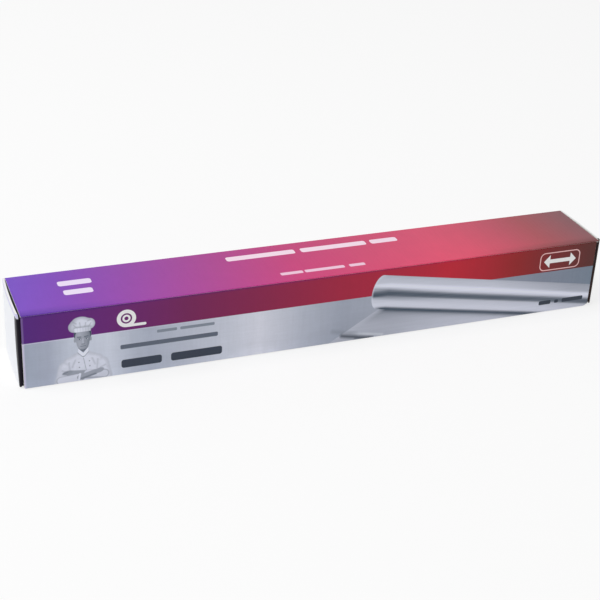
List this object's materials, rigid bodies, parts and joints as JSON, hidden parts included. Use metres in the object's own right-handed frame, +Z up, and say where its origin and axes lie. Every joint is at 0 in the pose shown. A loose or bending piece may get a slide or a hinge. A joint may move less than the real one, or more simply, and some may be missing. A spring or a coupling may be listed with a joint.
{
  "type": "boxed catering foil roll",
  "caption": "Long white board carton with printed lid and front flap, tuck flaps at both ends, holding a roll of aluminium foil on a card core and a toothed cutter strip.",
  "frame": {"origin": "centre of the carton's footprint, on the surface that it stands on", "axes": "+X along the carton to the right end, -Y out of the printed front, +Z up"},
  "size_m": [0.4736, 0.063, 0.059],
  "materials": {
    "board": "satin",
    "printed_board": "satin",
    "foil": "bright",
    "core_card": "matt",
    "steel": "bright"
  },
  "bodies": {
    "carton": {"tray": "board", "foil_roll": "foil", "core_tube": "core_card", "cutter_strip": "steel"},
    "lid": {"lid_panel": "printed_board"},
    "flap": {"front_flap": "printed_board"},
    "left_end": {"left_end_flap": "board"},
    "right_end": {"right_end_flap": "board"}
  },
  "joints": [
    {"name": "lid_hinge", "type": "hinge", "parent": "carton", "child": "lid", "pos_m": [0, 0.03115, 0.05865], "axis": [-1, 0, 0], "range_deg": [0, 180]},
    {"name": "front_flap_hinge", "type": "hinge", "parent": "lid", "child": "flap", "pos_m": [0, -0.03115, 0.05865], "axis": [-1, 0, 0], "range_deg": [0, 90]},
    {"name": "left_end_hinge", "type": "hinge", "parent": "carton", "child": "left_end", "pos_m": [-0.2354, 0.0315, 0.029], "axis": [0, 0, -1], "range_deg": [-1, 179]},
    {"name": "right_end_hinge", "type": "hinge", "parent": "carton", "child": "right_end", "pos_m": [0.2354, 0.0315, 0.029], "axis": [0, 0, 1], "range_deg": [-1, 179]}
  ]
}
